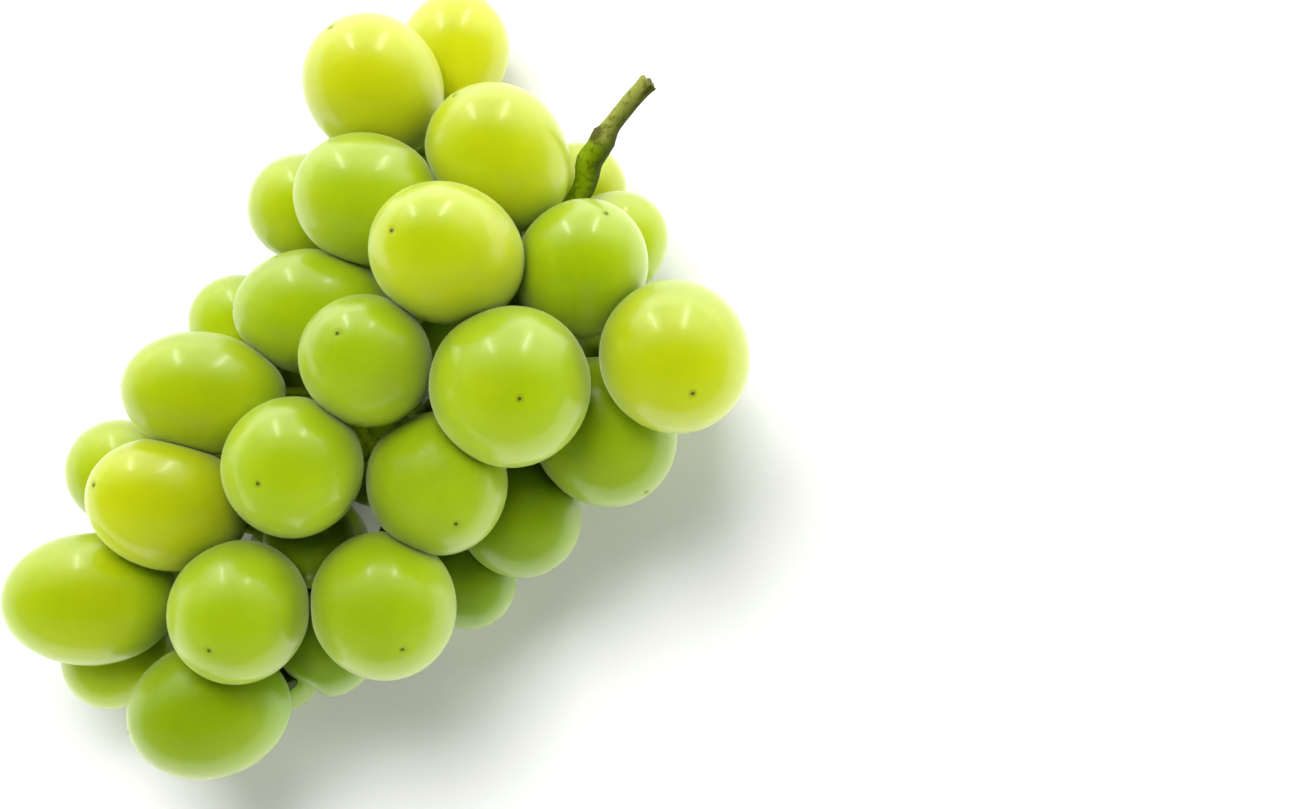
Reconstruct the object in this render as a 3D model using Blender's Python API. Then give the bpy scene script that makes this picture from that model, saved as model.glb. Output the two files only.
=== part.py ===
"""Bunch of green table grapes, cut from the vine and laid on its back.

Metres, +Z up. The bunch rests on flattened spots of its lowest berries at Z = 0, and its cut end
points along +Y. The origin is the middle of the bunch on the surface.

The berries are oval solids, placed by hand where they grow and then settled: pressed berries push
each other aside, the berries of one side branch draw together, and low ones come down on the
surface. One node holds the stem and one node holds the berries of each side branch.
"""
import math

import bmesh
import bpy
import numpy as np
from mathutils import Matrix, Vector

MM = 0.001

# Driving dimensions
CUT_END_RADIUS = 2.1 * MM
PEDUNCLE_RADIUS = 1.8 * MM
KNOT_RADIUS = 2.6 * MM
RACHIS_RADIUS = 2.4 * MM
RACHIS_TIP_RADIUS = 1.3 * MM
SIDE_STEM_RADIUS = 1.4 * MM
STALK_RADIUS = 0.95 * MM
STALK_DISC_RADIUS = 2.2 * MM
STALK_DISC_DEPTH = 1.3 * MM
STALK_END_FLAT = 0.6 * MM
GAP = 0.3 * MM
SAME_PLACE = 0.0001 * MM
PRESS = 0.9 * MM
PRESS_ON_BRANCH = 1.8 * MM
REST_FLAT = 1.1 * MM
BUNCH_TURN = math.radians(40)
SKIN_COLOUR = (0.40, 0.47, 0.06)
WOOD_COLOUR = (0.16, 0.17, 0.04)

# Facets
BERRY_SIDES = 14
BERRY_RINGS = 8
STEM_SIDES = 7
STALK_SIDES = 5
DISC_SIDES = 7
RACHIS_STEPS = 3
SMOOTH_ANGLE = math.radians(50)

# The main stem's route in mm, from the cut end to the bunch's tip
RACHIS_ROUTE = (
    (59, 61.5, 46),
    (54.8, 57, 45),
    (50, 50.5, 43),
    (46, 41, 40),
    (37, 27, 38),
    (27, 11, 38),
    (13, -5, 37),
    (-3, -20, 34),
    (-15, -34, 32),
    (-22, -45, 34),
)
KNOT_POINT = 2
FIRST_FORK_POINT = 3

# The berries of each side branch, from the cut end to the bunch's tip. A berry has its centre, its
# width and length in mm, and the way that its tip points, which is None where it just points
# outward from the main stem. Neighbours in a branch press on each other.
BRANCHES = (
    (
        ((45.3, 26, 48), 25.0, 28.0, (0.35, 0.72, 0.6)),
        ((63.3, 8, 59), 27.4, 32.0, (0.2, -0.44, 0.87)),
    ),
    (
        ((47, 18, 15), 24.0, 27.0, None),
        ((51, 31.5, 33), 20.5, 23.0, (0.8, 0.6, 0.0)),
        ((44, 41, 21), 20.0, 22.0, (0.5, 0.8, -0.3)),
    ),
    (
        ((6, 61, 37), 26.0, 29.5, (-0.5, 0.7, 0.4)),
        ((20, 69, 24), 22.0, 25.0, (0.3, 0.9, -0.1)),
        ((8, 55, 16), 23.0, 26.0, None),
    ),
    (
        ((31, 47, 47), 26.4, 30.0, (-0.5, 0.7, 0.35)),
        ((5, 38, 47), 25.0, 29.0, (-0.9, 0.3, 0.1)),
        ((21.5, 27.5, 62), 26.0, 33.5, (-0.55, 0.22, 0.8)),
    ),
    (
        ((-7, 38, 33), 21.0, 24.0, (-0.9, 0.2, 0.0)),
        ((9, 24, 31), 20.0, 22.0, None),
        ((-2, 33, 15), 24.0, 27.0, None),
        ((17, 17, 14), 24.0, 27.0, None),
        ((29, 40, 15), 24.0, 27.0, None),
    ),
    (
        ((51, -5, 44), 26.5, 30.0, (0.5, -0.7, 0.3)),
        ((31.5, 3, 68), 29.8, 31.0, (0.15, -0.15, 0.97)),
        ((20.3, -15.3, 51), 26.4, 28.0, (0.3, -0.5, 0.8)),
    ),
    (
        ((33, -7, 15), 24.0, 27.0, None),
        ((54, 1, 13), 22.0, 25.0, None),
        ((60, 11, 32), 21.0, 23.0, None),
    ),
    (
        ((6, 8, 58), 24.2, 28.0, (-0.3, 0.35, 0.88)),
        ((-5, 17, 50), 24.0, 30.0, (-0.98, 0.05, 0.15)),
        ((-19.5, 15.5, 34), 19.5, 22.0, (-0.9, 0.3, -0.1)),
        ((-28, 0, 20), 19.0, 21.0, None),
    ),
    (
        ((-13, 7, 15), 24.0, 27.0, None),
        ((-12, -7, 33), 20.0, 22.0, None),
        ((6, -9, 14), 24.0, 27.0, None),
    ),
    (
        ((32, -21, 43), 23.5, 26.0, (0.5, -0.8, 0.1)),
        ((23, -32, 34), 20.5, 23.0, (0.5, -0.8, 0.0)),
        ((20, -31, 14), 22.0, 24.0, None),
        ((8, -43, 27), 20.0, 22.0, (0.4, -0.85, 0.0)),
    ),
    (
        ((-7, -11.5, 61), 26.2, 28.0, (-0.35, -0.2, 0.91)),
        ((-25, 2, 50), 23.5, 31.5, (-0.97, 0.1, 0.2)),
        ((-31.2, -19, 55), 24.5, 33.0, (-0.73, 0.24, 0.64)),
    ),
    (
        ((-10, -28, 15), 24.0, 27.0, None),
        ((-28, -13, 16), 24.0, 27.0, None),
        ((-36, -25, 13), 18.0, 20.0, None),
        ((-42.7, -13.3, 34), 20.6, 23.0, (-0.9, 0.3, -0.1)),
    ),
    (
        ((9, -35.5, 54), 27.0, 29.0, (0.3, -0.5, 0.8)),
        ((-4, -45, 37), 20.5, 23.0, (0.3, -0.9, 0.1)),
        ((-15, -50, 22), 19.5, 22.0, (0.1, -0.9, -0.3)),
    ),
    (
        ((-5, -26.5, 43), 17.5, 19.0, (0.2, 0.3, 1.0)),
        ((-18, -38, 57), 26.0, 28.5, (-0.28, -0.44, 0.85)),
        ((-25, -58, 43), 26.3, 31.5, (-0.93, -0.25, 0.25)),
    ),
    (
        ((-47.5, -37, 45), 25.2, 33.5, (-0.99, -0.03, 0.12)),
        ((-45.5, -48.7, 30), 20.3, 22.5, (-0.7, -0.6, -0.1)),
        ((-23, -52, 18), 22.0, 25.0, None),
        ((-37, -37, 17), 22.0, 25.0, None),
    ),
)

# How the bunch settles, as shares of a fault mended each round
SETTLE_ROUNDS = 400
PUSH_APART = 0.25
PUSH_OFF_STEM = 0.4
LIFT_OFF_SURFACE = 0.6
SINK = 0.015 * MM
HIDDEN_SINK = 0.03 * MM
HOLD_SEEN = (0.2, 0.2, 0.02)
HOLD_HIDDEN = (0.01, 0.01, 0.0)
HIDDEN_TIP_LEAN = 0.35
TURN_TO_CONTACT = 0.8
SETTLE_CONTACT_ROUNDS = 3
CONTACT_ROUNDS = 8

# How the side stems and berry stalks find their way
ROUTE_ROUNDS = 120
SLACKEN = 0.4
BEND_AWAY = 0.6
SIDE_STEM_SHARE = 0.6
SIDE_STEM_FREEDOM = (0.0, 0.5, 1.0, 1.0)
STALK_FREEDOM = (0.0, 1.0, 1.0, 1.0, 0.3, 0.0)
STALK_ARRIVAL = 3.2 * MM


def unit(vectors):
    """Directions, each one long."""
    vectors = np.asarray(vectors, float)
    return vectors / np.linalg.norm(vectors, axis=-1, keepdims=True)


def nearest_on_route(points, route):
    """The nearest place on a route of straight runs, and its distance, for each point."""
    nearest = np.zeros_like(points)
    distance = np.full(len(points), np.inf)
    for start, end in zip(route[:-1], route[1:]):
        run = end - start
        share = np.clip((points - start) @ run / (run @ run), 0, 1)
        place = start + share[:, None] * run
        length = np.linalg.norm(points - place, axis=1)
        closer = length < distance
        nearest[closer] = place[closer]
        distance[closer] = length[closer]
    return nearest, distance


def reach(directions, ovals):
    """How far an oval reaches from its centre to its tangent plane across a direction."""
    return np.sqrt(np.einsum("ka,kab,kb->k", directions, ovals, directions))


def between(centres, ovals, first, second, rounds):
    """The clear distance between pairs of ovals and the direction across it."""
    apart = centres[second] - centres[first]
    length = np.linalg.norm(apart, axis=1, keepdims=True)
    across = unit(apart)
    for _ in range(rounds):
        first_touch = np.einsum("kab,kb->ka", ovals[first], across)
        first_touch /= reach(across, ovals[first])[:, None]
        second_touch = np.einsum("kab,kb->ka", ovals[second], across)
        second_touch /= reach(across, ovals[second])[:, None]
        turn = apart - first_touch - second_touch
        turn -= (turn * across).sum(1, keepdims=True) * across
        across = unit(across + TURN_TO_CONTACT * turn / length)
    clear = (across * apart).sum(1) - reach(across, ovals[first]) - reach(across, ovals[second])
    return clear, across


class Bunch:
    """Centres, tip directions and oval matrices of all berries, and the main stem's route."""

    def __init__(self):
        rows = [(number, *berry) for number, branch in enumerate(BRANCHES) for berry in branch]
        self.branch = np.array([row[0] for row in rows])
        self.home = np.array([row[1] for row in rows], float) * MM
        self.width = np.array([row[2] for row in rows]) * MM
        self.length = np.array([row[3] for row in rows]) * MM
        self.hidden = np.array([row[4] is None for row in rows])
        self.route = np.array(RACHIS_ROUTE, float) * MM
        inner = self.route[FIRST_FORK_POINT:]
        lean = HIDDEN_TIP_LEAN * unit(inner[-1] - inner[0])
        outward = unit(self.home - nearest_on_route(self.home, inner)[0])
        tips = [outward[k] + lean if row[4] is None else row[4] for k, row in enumerate(rows)]
        self.tips = unit(tips)
        long_way = (self.length / 2) ** 2
        cross_way = (self.width / 2) ** 2
        along = self.tips[:, :, None] * self.tips[:, None, :]
        self.ovals = cross_way[:, None, None] * np.eye(3) + (long_way - cross_way)[:, None, None] * along
        self.centres = self.home.copy()
        self.settle()

    def settle(self):
        first, second = np.triu_indices(len(self.centres), 1)
        mates = (second == first + 1) & (self.branch[first] == self.branch[second])
        hold = np.where(self.hidden[:, None], [HOLD_HIDDEN], [HOLD_SEEN])
        sink = np.where(self.hidden, HIDDEN_SINK, SINK)
        half_height = np.sqrt(self.ovals[:, 2, 2])
        for _ in range(SETTLE_ROUNDS):
            clear, across = between(self.centres, self.ovals, first, second, SETTLE_CONTACT_ROUNDS)
            fault = np.where(mates, clear + PRESS_ON_BRANCH, np.minimum(clear + PRESS, 0))
            shove = PUSH_APART * fault[:, None] * across
            move = hold * (self.home - self.centres)
            np.add.at(move, first, shove)
            np.add.at(move, second, -shove)
            nearest, distance = nearest_on_route(self.centres, self.route)
            outward = (self.centres - nearest) / distance[:, None]
            room = distance - reach(outward, self.ovals) - RACHIS_RADIUS - 2 * GAP
            move -= PUSH_OFF_STEM * np.minimum(room, 0)[:, None] * outward
            low = np.maximum(half_height - REST_FLAT - self.centres[:, 2], 0)
            move[:, 2] += LIFT_OFF_SURFACE * low - sink
            self.centres += move

    def stalk_ends(self, beyond):
        """Points past the stalk end of each berry, on its axis."""
        return self.centres - self.tips * (self.length / 2 + beyond)[:, None]


def smooth_route(points, steps):
    """A curve through the points, with a number of steps between each two."""
    ends = [2 * points[0] - points[1], *points, 2 * points[-1] - points[-2]]
    curve = []
    for before, start, end, after in zip(ends[:-3], ends[1:-2], ends[2:-1], ends[3:]):
        for step in range(steps):
            t = step / steps
            curve.append(
                start
                + 0.5 * t * (end - before)
                + t * t * (before - 2.5 * start + 2 * end - 0.5 * after)
                + 0.5 * t ** 3 * (3 * start - before - 3 * end + after)
            )
    curve.append(points[-1])
    return np.array(curve)


def bend_clear(points, freedom, bunch, radius):
    """Slacken a route and bend its free points clear of all berries."""
    free = np.array(freedom)
    shapes = np.linalg.inv(bunch.ovals)
    room = (radius + 2 * GAP) / (bunch.width / 2)
    for _ in range(ROUTE_ROUNDS):
        slack = (points[:-2] + points[2:]) / 2 - points[1:-1]
        points[1:-1] += SLACKEN * free[1:-1, None] * slack
        offset = points[:, None] - bunch.centres
        pull = np.einsum("kab,pkb->pka", shapes, offset)
        depth = np.sqrt((pull * offset).sum(2))
        inside = np.clip(1 + room - depth, 0, None)
        push = inside[:, :, None] * unit(pull) * (bunch.width / 2)[:, None]
        points += BEND_AWAY * free[:, None] * push.sum(1)
    return points


class Stem:
    """Routes of the stem's branches, as runs of points with their radii."""

    def __init__(self, bunch):
        self.bunch = bunch
        self.rachis = smooth_route(bunch.route, RACHIS_STEPS)
        self.rachis_radii = self.taper()
        self.discs = bunch.stalk_ends(GAP - STALK_END_FLAT + STALK_DISC_DEPTH / 2)
        self.runs = [(self.rachis, self.rachis_radii, STEM_SIDES)]
        for number in range(len(BRANCHES)):
            self.grow_branch(number)

    def taper(self):
        knot = KNOT_POINT * RACHIS_STEPS
        radii = np.full(len(self.rachis), PEDUNCLE_RADIUS)
        radii[knot:] = np.linspace(RACHIS_RADIUS, RACHIS_TIP_RADIUS, len(radii) - knot)
        radii[knot] = KNOT_RADIUS
        radii[0] = CUT_END_RADIUS
        return radii

    def grow_branch(self, number):
        bunch = self.bunch
        berries = np.nonzero(bunch.branch == number)[0]
        ends = self.discs[berries]
        inner = self.rachis[FIRST_FORK_POINT * RACHIS_STEPS:]
        middle = ends.mean(0)
        start = inner[np.argmin(np.linalg.norm(inner - middle, axis=1))]
        steps = np.linspace(0, SIDE_STEM_SHARE, len(SIDE_STEM_FREEDOM))
        side = start + steps[:, None] * (middle - start)
        side = bend_clear(side, SIDE_STEM_FREEDOM, bunch, SIDE_STEM_RADIUS)
        self.runs.append((side, np.full(len(side), SIDE_STEM_RADIUS), STEM_SIDES))
        for berry, end in zip(berries, ends):
            arrival = end - STALK_ARRIVAL * bunch.tips[berry]
            fork = side[-1]
            steps = np.linspace(0, 1, len(STALK_FREEDOM) - 1)
            stalk = np.vstack((fork + steps[:, None] * (arrival - fork), end))
            stalk = bend_clear(stalk, STALK_FREEDOM, bunch, STALK_RADIUS)
            self.runs.append((stalk, np.full(len(stalk), STALK_RADIUS), STALK_SIDES))


def keep_planes(bunch, stem):
    """For each berry, the planes that it stays behind, as directions and distances."""
    planes = [[] for _ in bunch.centres]
    first, second = np.triu_indices(len(bunch.centres), 1)
    clear, across = between(bunch.centres, bunch.ovals, first, second, CONTACT_ROUNDS)
    for a, b, space, way in zip(first, second, clear, across):
        if bunch.branch[a] == bunch.branch[b] or space > GAP:
            continue
        half = np.sqrt(way @ bunch.ovals[a] @ way) + (space - GAP) / 2
        other = np.sqrt(way @ bunch.ovals[b] @ way) + (space - GAP) / 2
        planes[a].append((way, half))
        planes[b].append((-way, other))
    for points, radii, _ in stem.runs:
        for start, end, radius in zip(points[:-1], points[1:], np.maximum(radii[:-1], radii[1:])):
            add_stem_planes(planes, bunch, np.array([start, end]), radius)
    for disc in stem.discs:
        add_stem_planes(planes, bunch, np.array([disc, disc]), STALK_DISC_RADIUS, disc)
    for berry, tip in enumerate(bunch.tips):
        planes[berry].append((-tip, bunch.length[berry] / 2 - STALK_END_FLAT))
    return planes


def add_stem_planes(planes, bunch, run, radius, own_disc=None):
    """Keep every berry behind a plane that touches a stretch of stem."""
    step = run[1] - run[0]
    along = (bunch.centres - run[0]) @ step / max(step @ step, SAME_PLACE ** 2)
    nearest = run[0] + np.clip(along, 0, 1)[:, None] * step
    distance = np.linalg.norm(nearest - bunch.centres, axis=1)
    way = (nearest - bunch.centres) / distance[:, None]
    limit = distance - radius - GAP
    for berry in np.nonzero(reach(way, bunch.ovals) > limit)[0]:
        own_end = bunch.centres[berry] - bunch.tips[berry] * bunch.length[berry] / 2
        if own_disc is not None and np.linalg.norm(own_end - own_disc) < STALK_DISC_DEPTH:
            continue
        planes[berry].append((way[berry], limit[berry]))


def new_piece(name, build):
    """A named object with its own mesh, from a bmesh."""
    mesh = bpy.data.meshes.new(name)
    build.to_mesh(mesh)
    build.free()
    piece = bpy.data.objects.new(name, mesh)
    bpy.context.scene.collection.objects.link(piece)
    return piece


def turned_frame(way):
    """A turn that takes +Z to a direction."""
    return Vector(way).to_track_quat("Z", "Y").to_matrix().to_4x4()


def make_berry(bunch, berry, planes):
    """An oval, pressed flat where it meets its neighbours, its stalk and the surface."""
    build = bmesh.new()
    bmesh.ops.create_uvsphere(build, u_segments=BERRY_SIDES, v_segments=BERRY_RINGS, radius=1)
    size = Vector((bunch.width[berry], bunch.width[berry], bunch.length[berry])) / 2
    turn = turned_frame(bunch.tips[berry])
    bmesh.ops.transform(build, matrix=turn @ Matrix.Diagonal(size.to_4d()), verts=build.verts)
    ways = np.array([plane[0] for plane in planes])
    limits = np.array([plane[1] for plane in planes])
    for vertex in build.verts:
        heights = ways @ np.array(vertex.co)
        over = heights > limits
        if over.any():
            vertex.co *= float((limits[over] / heights[over]).min())
    build.transform(Matrix.Translation(Vector(bunch.centres[berry])))
    if min(vertex.co.z for vertex in build.verts) < 0:
        cut_off_below_surface(build)
    bmesh.ops.recalc_face_normals(build, faces=build.faces)
    return new_piece("berry", build)


def cut_off_below_surface(build):
    """Cut the berry's rest flat, so that it lies on the surface."""
    everything = list(build.verts) + list(build.edges) + list(build.faces)
    cut = bmesh.ops.bisect_plane(
        build, geom=everything, dist=SAME_PLACE, plane_co=(0, 0, 0), plane_no=(0, 0, -1), clear_outer=True
    )
    rim = [item for item in cut["geom_cut"] if isinstance(item, bmesh.types.BMEdge)]
    bmesh.ops.contextual_create(build, geom=rim)


def make_tube(points, radii, sides):
    """A closed tube along points, with a radius at each."""
    build = bmesh.new()
    ways = unit(np.gradient(points, axis=0))
    guide = Vector(ways[0]).orthogonal()
    rings = []
    for point, way, radius in zip(points, ways, radii):
        way = Vector(way)
        radius = float(radius)
        guide = (guide - guide.dot(way) * way).normalized()
        other = way.cross(guide)
        ring = []
        for side in range(sides):
            angle = math.tau * side / sides
            offset = math.cos(angle) * guide + math.sin(angle) * other
            ring.append(build.verts.new(Vector(point) + radius * offset))
        rings.append(ring)
    for ring, after in zip(rings[:-1], rings[1:]):
        for side in range(sides):
            far = (side + 1) % sides
            build.faces.new((ring[side], ring[far], after[far], after[side]))
    build.faces.new(rings[0][::-1])
    build.faces.new(rings[-1])
    bmesh.ops.recalc_face_normals(build, faces=build.faces)
    return new_piece("stem run", build)


def make_disc(centre, way):
    """The swollen disc at the end of a berry stalk, narrowing into the stalk."""
    build = bmesh.new()
    bmesh.ops.create_cone(
        build,
        cap_ends=True,
        segments=DISC_SIDES,
        radius1=STALK_RADIUS,
        radius2=STALK_DISC_RADIUS,
        depth=STALK_DISC_DEPTH,
        matrix=Matrix.Translation(Vector(centre)) @ turned_frame(way),
    )
    return new_piece("stalk disc", build)


def fuse(name, pieces):
    """Join overlapping pieces into one body by one union."""
    base = pieces[0]
    base.name = name
    base.data.name = name
    if len(pieces) > 1:
        others = bpy.data.collections.new(name)
        for piece in pieces[1:]:
            others.objects.link(piece)
        union = base.modifiers.new("Union", "BOOLEAN")
        union.operation = "UNION"
        union.solver = "EXACT"
        union.operand_type = "COLLECTION"
        union.collection = others
        with bpy.context.temp_override(object=base, active_object=base):
            bpy.ops.object.modifier_apply(modifier=union.name)
        for piece in pieces[1:]:
            bpy.data.meshes.remove(piece.data)
        bpy.data.collections.remove(others)
    return base


def finish_node(node, frame, material):
    """Hang the node on the bunch's frame and give it its material."""
    node.parent = frame
    node.data.materials.clear()
    node.data.materials.append(material)
    node.data.shade_smooth()
    node.data.set_sharp_from_angle(angle=SMOOTH_ANGLE)


def bunch_frame(bunch):
    """An empty that turns the bunch's length to +Y and puts its middle at the origin."""
    cosine, sine = math.cos(BUNCH_TURN), math.sin(BUNCH_TURN)
    middle = []
    for way in (np.array((cosine, -sine, 0.0)), np.array((sine, cosine, 0.0))):
        ways = np.repeat(way[None], len(bunch.centres), 0)
        far = (bunch.centres @ way + reach(ways, bunch.ovals)).max()
        near = (bunch.centres @ way - reach(ways, bunch.ovals)).min()
        middle.append((max(far, bunch.route[0] @ way) + near) / 2)
    frame = bpy.data.objects.new("bunch", None)
    frame.location = (-middle[0], -middle[1], 0)
    frame.rotation_euler.z = BUNCH_TURN
    bpy.context.scene.collection.objects.link(frame)
    return frame


def principled(name, colour, roughness):
    material = bpy.data.materials.new(name)
    material.use_nodes = True
    shader = material.node_tree.nodes["Principled BSDF"]
    shader.inputs["Base Color"].default_value = (*colour, 1)
    shader.inputs["Roughness"].default_value = roughness
    material.diffuse_color = (*colour, 1)
    return material


def main():
    for leftover in list(bpy.data.objects):
        bpy.data.objects.remove(leftover)
    bunch = Bunch()
    stem = Stem(bunch)
    planes = keep_planes(bunch, stem)
    frame = bunch_frame(bunch)
    green_skin = principled("green grape skin", SKIN_COLOUR, 0.3)
    green_wood = principled("green wood", WOOD_COLOUR, 0.6)

    parts = [make_tube(*run) for run in stem.runs]
    parts += [make_disc(disc, tip) for disc, tip in zip(stem.discs, bunch.tips)]
    finish_node(fuse("stem", parts), frame, green_wood)
    for number in range(len(BRANCHES)):
        berries = np.nonzero(bunch.branch == number)[0]
        pieces = [make_berry(bunch, berry, planes[berry]) for berry in berries]
        finish_node(fuse(f"grapes_branch_{number + 1:02d}", pieces), frame, green_skin)


main()
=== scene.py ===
"""The looks of a bunch of green table grapes that lies on its back on a white surface.

Metres, +Z up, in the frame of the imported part: the cut end points along +Y. Places in the tables
are in the bunch's own frame, in mm: x and y as the bunch is seen from above, and z up from the
surface. One turn and one shift take that frame to the part's.
"""
import math
import random

import bmesh
import bpy
import numpy as np
from mathutils import Matrix, Vector

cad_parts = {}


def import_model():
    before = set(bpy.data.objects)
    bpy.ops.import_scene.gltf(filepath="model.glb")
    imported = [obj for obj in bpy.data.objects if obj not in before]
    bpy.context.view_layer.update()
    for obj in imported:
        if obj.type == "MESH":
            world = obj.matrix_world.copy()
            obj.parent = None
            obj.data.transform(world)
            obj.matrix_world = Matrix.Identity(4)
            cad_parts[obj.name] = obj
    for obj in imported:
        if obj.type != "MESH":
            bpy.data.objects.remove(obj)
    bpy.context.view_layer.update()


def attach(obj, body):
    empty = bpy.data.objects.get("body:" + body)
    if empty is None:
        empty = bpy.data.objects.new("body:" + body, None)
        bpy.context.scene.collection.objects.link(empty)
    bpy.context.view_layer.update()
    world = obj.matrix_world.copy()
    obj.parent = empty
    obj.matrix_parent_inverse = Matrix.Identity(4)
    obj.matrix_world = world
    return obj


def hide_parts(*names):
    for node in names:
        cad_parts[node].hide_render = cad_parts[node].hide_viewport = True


MM = 0.001

# Sizes of the stem and of the berries' ends
CUT_END_RADIUS = 2.1 * MM
PEDUNCLE_RADIUS = 1.8 * MM
KNOT_RADIUS = 2.6 * MM
RACHIS_RADIUS = 2.4 * MM
RACHIS_TIP_RADIUS = 1.3 * MM
SIDE_STEM_RADIUS = 1.4 * MM
STALK_RADIUS = 0.95 * MM
STALK_DISC_RADIUS = 2.2 * MM
STALK_DISC_DEPTH = 1.3 * MM
STALK_END_FLAT = 0.6 * MM
GAP = 0.3 * MM
PRESS = 0.9 * MM
PRESS_ON_BRANCH = 1.8 * MM
REST_FLAT = 1.1 * MM
BUNCH_TURN = math.radians(40)

# The main stem's route in mm, from the cut end to the bunch's tip
RACHIS_ROUTE = (
    (59, 61.5, 46),
    (54.8, 57, 45),
    (50, 50.5, 43),
    (46, 41, 40),
    (37, 27, 38),
    (27, 11, 38),
    (13, -5, 37),
    (-3, -20, 34),
    (-15, -34, 32),
    (-22, -45, 34),
)
KNOT_POINT = 2
FIRST_FORK_POINT = 3
RACHIS_STEPS = 3

# The berries of each side branch, from the cut end to the bunch's tip. A berry has its centre, its
# width and length in mm, the way that its tip points, which is None where it just points outward
# from the main stem, and its ripeness, from 0, green, to 1, yellow. That number also holds painted
# light and shade: it is set lower, greener and darker, for berries that lie in shade, and higher for
# well lit ones.
BRANCHES = (
    (
        ((45.3, 26, 48), 25.0, 28.0, (0.35, 0.72, 0.6), 0.52),
        ((63.3, 8, 59), 27.4, 32.0, (0.2, -0.44, 0.87), 0.7),
    ),
    (
        ((47, 18, 15), 24.0, 27.0, None, 0.3),
        ((51, 31.5, 33), 20.5, 23.0, (0.8, 0.6, 0.0), 0.62),
        ((44, 41, 21), 20.0, 22.0, (0.5, 0.8, -0.3), 0.82),
    ),
    (
        ((6, 61, 37), 26.0, 29.5, (-0.5, 0.7, 0.4), 0.84),
        ((20, 69, 24), 22.0, 25.0, (0.3, 0.9, -0.1), 0.98),
        ((8, 55, 16), 23.0, 26.0, None, 0.5),
    ),
    (
        ((31, 47, 47), 26.4, 30.0, (-0.5, 0.7, 0.35), 0.72),
        ((5, 38, 47), 25.0, 29.0, (-0.9, 0.3, 0.1), 0.54),
        ((21.5, 27.5, 62), 26.0, 33.5, (-0.55, 0.22, 0.8), 0.72),
    ),
    (
        ((-7, 38, 33), 21.0, 24.0, (-0.9, 0.2, 0.0), 0.58),
        ((9, 24, 31), 20.0, 22.0, None, 0.2),
        ((-2, 33, 15), 24.0, 27.0, None, 0.4),
        ((17, 17, 14), 24.0, 27.0, None, 0.2),
        ((29, 40, 15), 24.0, 27.0, None, 0.4),
    ),
    (
        ((51, -5, 44), 26.5, 30.0, (0.5, -0.7, 0.3), 0.2),
        ((31.5, 3, 68), 29.8, 31.0, (0.15, -0.15, 0.97), 0.5),
        ((20.3, -15.3, 51), 26.4, 28.0, (0.3, -0.5, 0.8), 0.36),
    ),
    (
        ((33, -7, 15), 24.0, 27.0, None, 0.2),
        ((54, 1, 13), 22.0, 25.0, None, 0.35),
        ((60, 11, 32), 21.0, 23.0, None, 0.45),
    ),
    (
        ((6, 8, 58), 24.2, 28.0, (-0.3, 0.35, 0.88), 0.44),
        ((-5, 17, 50), 24.0, 30.0, (-0.98, 0.05, 0.15), 0.44),
        ((-19.5, 15.5, 34), 19.5, 22.0, (-0.9, 0.3, -0.1), 0.6),
        ((-28, 0, 20), 19.0, 21.0, None, 0.5),
    ),
    (
        ((-13, 7, 15), 24.0, 27.0, None, 0.3),
        ((-12, -7, 33), 20.0, 22.0, None, 0.15),
        ((6, -9, 14), 24.0, 27.0, None, 0.25),
    ),
    (
        ((32, -21, 43), 23.5, 26.0, (0.5, -0.8, 0.1), 0.1),
        ((23, -32, 34), 20.5, 23.0, (0.5, -0.8, 0.0), 0.0),
        ((20, -31, 14), 22.0, 24.0, None, 0.2),
        ((8, -43, 27), 20.0, 22.0, (0.4, -0.85, 0.0), 0.1),
    ),
    (
        ((-7, -11.5, 61), 26.2, 28.0, (-0.35, -0.2, 0.91), 0.46),
        ((-25, 2, 50), 23.5, 31.5, (-0.97, 0.1, 0.2), 0.64),
        ((-31.2, -19, 55), 24.5, 33.0, (-0.73, 0.24, 0.64), 0.78),
    ),
    (
        ((-10, -28, 15), 24.0, 27.0, None, 0.3),
        ((-28, -13, 16), 24.0, 27.0, None, 0.4),
        ((-36, -25, 13), 18.0, 20.0, None, 0.55),
        ((-42.7, -13.3, 34), 20.6, 23.0, (-0.9, 0.3, -0.1), 0.62),
    ),
    (
        ((9, -35.5, 54), 27.0, 29.0, (0.3, -0.5, 0.8), 0.36),
        ((-4, -45, 37), 20.5, 23.0, (0.3, -0.9, 0.1), 0.0),
        ((-15, -50, 22), 19.5, 22.0, (0.1, -0.9, -0.3), 0.0),
    ),
    (
        ((-5, -26.5, 43), 17.5, 19.0, (0.2, 0.3, 1.0), 0.1),
        ((-18, -38, 57), 26.0, 28.5, (-0.28, -0.44, 0.85), 0.4),
        ((-25, -58, 43), 26.3, 31.5, (-0.93, -0.25, 0.25), 0.22),
    ),
    (
        ((-47.5, -37, 45), 25.2, 33.5, (-0.99, -0.03, 0.12), 0.6),
        ((-45.5, -48.7, 30), 20.3, 22.5, (-0.7, -0.6, -0.1), 0.54),
        ((-23, -52, 18), 22.0, 25.0, None, 0.3),
        ((-37, -37, 17), 22.0, 25.0, None, 0.4),
    ),
)

# How the bunch settles, as shares of a fault mended each round
SETTLE_ROUNDS = 400
PUSH_APART = 0.25
PUSH_OFF_STEM = 0.4
LIFT_OFF_SURFACE = 0.6
SINK = 0.015 * MM
HIDDEN_SINK = 0.03 * MM
HOLD_SEEN = (0.2, 0.2, 0.02)
HOLD_HIDDEN = (0.01, 0.01, 0.0)
HIDDEN_TIP_LEAN = 0.35
TURN_TO_CONTACT = 0.8
SETTLE_CONTACT_ROUNDS = 3
CONTACT_ROUNDS = 8

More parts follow.
